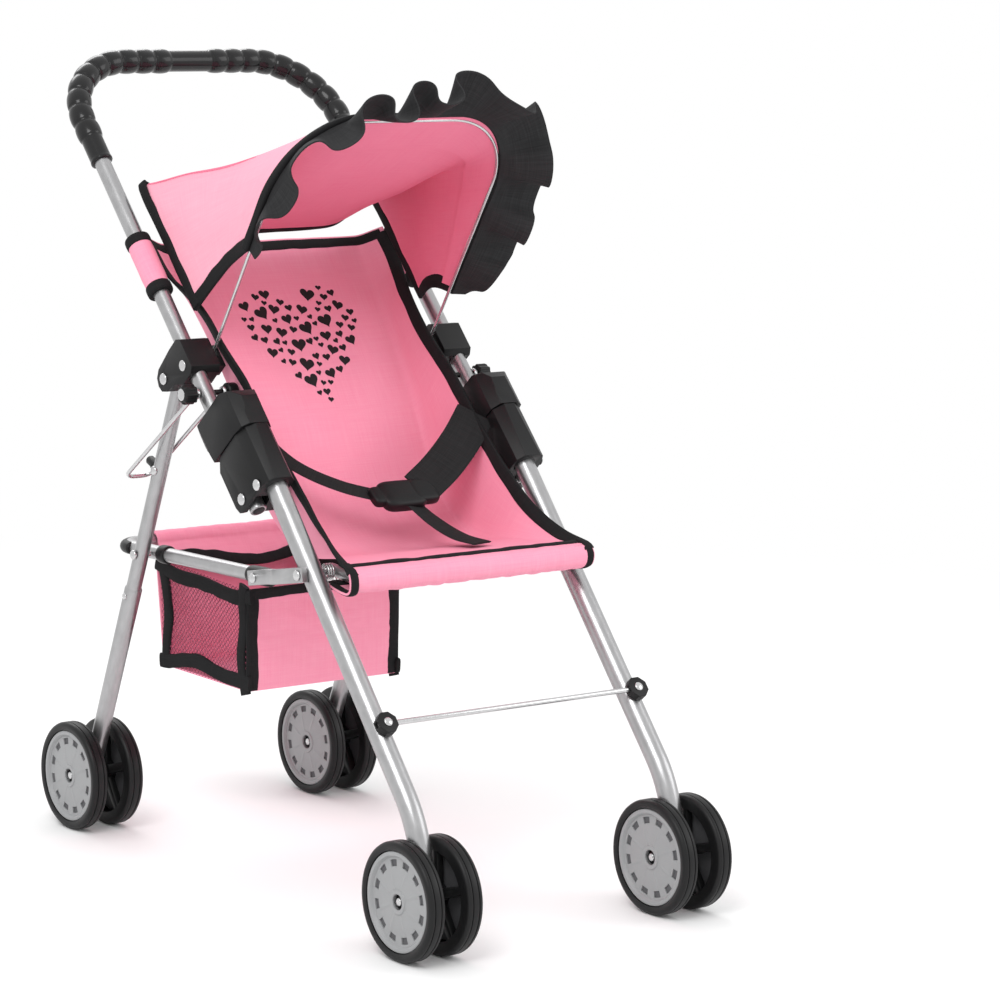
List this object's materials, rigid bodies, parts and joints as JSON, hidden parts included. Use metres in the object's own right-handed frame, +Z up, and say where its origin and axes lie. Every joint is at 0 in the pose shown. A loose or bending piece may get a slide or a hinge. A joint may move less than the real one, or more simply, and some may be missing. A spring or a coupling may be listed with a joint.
{
  "type": "doll stroller",
  "caption": "Folding doll stroller with a silver tube frame, twin plastic wheels, a cloth seat, a hood on a wire bow and a net basket.",
  "frame": {"origin": "on the floor, at the middle of the overall length and width", "axes": "+Z up, the stroller faces -Y, +X is across, from its left wheels to its right wheels"},
  "size_m": [0.276, 0.5346, 0.5996],
  "materials": {
    "tube_steel": "silver satin paint on tube",
    "rivet_steel": "bright plated",
    "black_plastic": "satin moulded",
    "grip_black": "soft gloss sleeve",
    "tyre_black": "satin moulded",
    "disc_grey": "satin moulded",
    "pink_cloth": "thin woven cloth",
    "pink_light_cloth": "thin woven cloth",
    "black_webbing": "woven webbing"
  },
  "bodies": {
    "frame": {"front_leg_L": "tube_steel", "front_leg_R": "tube_steel", "front_cross_rod": "tube_steel", "rod_clamp_L": "black_plastic", "rod_clamp_R": "black_plastic", "hinge_housing_L": "black_plastic", "hinge_housing_R": "black_plastic", "handle_pivot_rivet_L": "rivet_steel", "handle_pivot_rivet_R": "rivet_steel", "axle_front_L": "tube_steel", "axle_front_R": "tube_steel", "torsion_spring_L": "rivet_steel", "torsion_spring_R": "rivet_steel", "seat_sling": "pink_cloth", "harness": "black_webbing"},
    "handle": {"push_handle": "tube_steel", "handle_grip": "grip_black", "upper_bracket_L": "black_plastic", "upper_bracket_R": "black_plastic", "rear_leg_rivet_L": "rivet_steel", "rear_leg_rivet_R": "rivet_steel", "knob_pin_L": "black_plastic", "knob_pin_R": "black_plastic"},
    "rear_legs": {"rear_leg_L": "tube_steel", "rear_leg_R": "tube_steel", "rail_rivet_L": "rivet_steel", "rail_rivet_R": "rivet_steel", "axle_rear_L": "tube_steel", "axle_rear_R": "tube_steel"},
    "seat_frame": {"front_link_L": "tube_steel", "front_link_R": "tube_steel", "seat_pivot_pin_L": "rivet_steel", "seat_pivot_pin_R": "rivet_steel", "seat_bar": "tube_steel"},
    "rear_rail": {"rear_rail": "tube_steel", "basket": "pink_cloth"},
    "bail_L": {"bail_L": "tube_steel"},
    "bail_R": {"bail_R": "tube_steel"},
    "lock_cap_L": {"lock_cap_L": "black_plastic"},
    "lock_cap_R": {"lock_cap_R": "black_plastic"},
    "canopy": {"canopy_bow": "tube_steel", "canopy_fabric": "pink_light_cloth"},
    "wheel_front_L_a": {"wheel_front_L_a": "tyre_black", "disc_front_L_a": "disc_grey"},
    "wheel_front_L_b": {"wheel_front_L_b": "tyre_black", "disc_front_L_b": "disc_grey"},
    "wheel_front_R_a": {"wheel_front_R_a": "tyre_black", "disc_front_R_a": "disc_grey"},
    "wheel_front_R_b": {"wheel_front_R_b": "tyre_black", "disc_front_R_b": "disc_grey"},
    "wheel_rear_L_a": {"wheel_rear_L_a": "tyre_black", "disc_rear_L_a": "disc_grey"},
    "wheel_rear_L_b": {"wheel_rear_L_b": "tyre_black", "disc_rear_L_b": "disc_grey"},
    "wheel_rear_R_a": {"wheel_rear_R_a": "tyre_black", "disc_rear_R_a": "disc_grey"},
    "wheel_rear_R_b": {"wheel_rear_R_b": "tyre_black", "disc_rear_R_b": "disc_grey"}
  },
  "joints": [
    {"name": "fold", "type": "hinge", "parent": "frame", "child": "handle", "pos_m": [0, -0.02006, 0.29107], "axis": [-1, 0, 0], "range_deg": [0, 70], "deforming": ["seat_sling"]},
    {"name": "rear_leg_fold", "type": "hinge", "parent": "handle", "child": "rear_legs", "pos_m": [0, 0.08708, 0.36597], "axis": [1, 0, 0], "range_deg": [0, 32]},
    {"name": "seat_link_fold", "type": "hinge", "parent": "frame", "child": "seat_frame", "pos_m": [0, -0.08801, 0.24604], "axis": [-1, 0, 0], "range_deg": [0, 14]},
    {"name": "rail_fold", "type": "hinge", "parent": "seat_frame", "child": "rear_rail", "pos_m": [0, -0.00586, 0.23], "axis": [-1, 0, 0], "range_deg": [0, 53.5]},
    {"name": "bail_L_swing", "type": "hinge", "parent": "handle", "child": "bail_L", "pos_m": [-0.114, 0.04386, 0.35986], "axis": [1, 0, 0], "range_deg": [0, 25]},
    {"name": "bail_R_swing", "type": "hinge", "parent": "handle", "child": "bail_R", "pos_m": [0.114, 0.04386, 0.35986], "axis": [1, 0, 0], "range_deg": [0, 25]},
    {"name": "lock_cap_L_slide", "type": "slide", "parent": "handle", "child": "lock_cap_L", "axis": [0, 0.6807, 0.7325], "range_m": [0, 0.012]},
    {"name": "lock_cap_R_slide", "type": "slide", "parent": "handle", "child": "lock_cap_R", "axis": [0, 0.6807, 0.7325], "range_m": [0, 0.012]},
    {"name": "canopy_fold", "type": "hinge", "parent": "handle", "child": "canopy", "pos_m": [0, 0.06571, 0.38337], "axis": [-1, 0, 0], "range_deg": [0, 60], "deforming": ["canopy_fabric"]},
    {"name": "spin_front_L_a", "type": "hinge", "parent": "frame", "child": "wheel_front_L_a", "pos_m": [-0.1269, -0.22536, 0.042], "axis": [1, 0, 0], "continuous": true},
    {"name": "spin_front_L_b", "type": "hinge", "parent": "frame", "child": "wheel_front_L_b", "pos_m": [-0.0951, -0.22536, 0.042], "axis": [1, 0, 0], "continuous": true},
    {"name": "spin_front_R_a", "type": "hinge", "parent": "frame", "child": "wheel_front_R_a", "pos_m": [0.0951, -0.22536, 0.042], "axis": [1, 0, 0], "continuous": true},
    {"name": "spin_front_R_b", "type": "hinge", "parent": "frame", "child": "wheel_front_R_b", "pos_m": [0.1269, -0.22536, 0.042], "axis": [1, 0, 0], "continuous": true},
    {"name": "spin_rear_L_a", "type": "hinge", "parent": "rear_legs", "child": "wheel_rear_L_a", "pos_m": [-0.1269, 0.21564, 0.042], "axis": [1, 0, 0], "continuous": true},
    {"name": "spin_rear_L_b", "type": "hinge", "parent": "rear_legs", "child": "wheel_rear_L_b", "pos_m": [-0.0951, 0.21564, 0.042], "axis": [1, 0, 0], "continuous": true},
    {"name": "spin_rear_R_a", "type": "hinge", "parent": "rear_legs", "child": "wheel_rear_R_a", "pos_m": [0.0951, 0.21564, 0.042], "axis": [1, 0, 0], "continuous": true},
    {"name": "spin_rear_R_b", "type": "hinge", "parent": "rear_legs", "child": "wheel_rear_R_b", "pos_m": [0.1269, 0.21564, 0.042], "axis": [1, 0, 0], "continuous": true}
  ],
  "couplings": [
    {"joint": "rear_leg_fold", "follows": "fold", "ratio": 0.444},
    {"joint": "seat_link_fold", "follows": "fold", "ratio": 0.192},
    {"joint": "rail_fold", "follows": "fold", "ratio": 0.756},
    {"joint": "bail_L_swing", "follows": "fold", "ratio": 0.35},
    {"joint": "bail_R_swing", "follows": "fold", "ratio": 0.35}
  ]
}
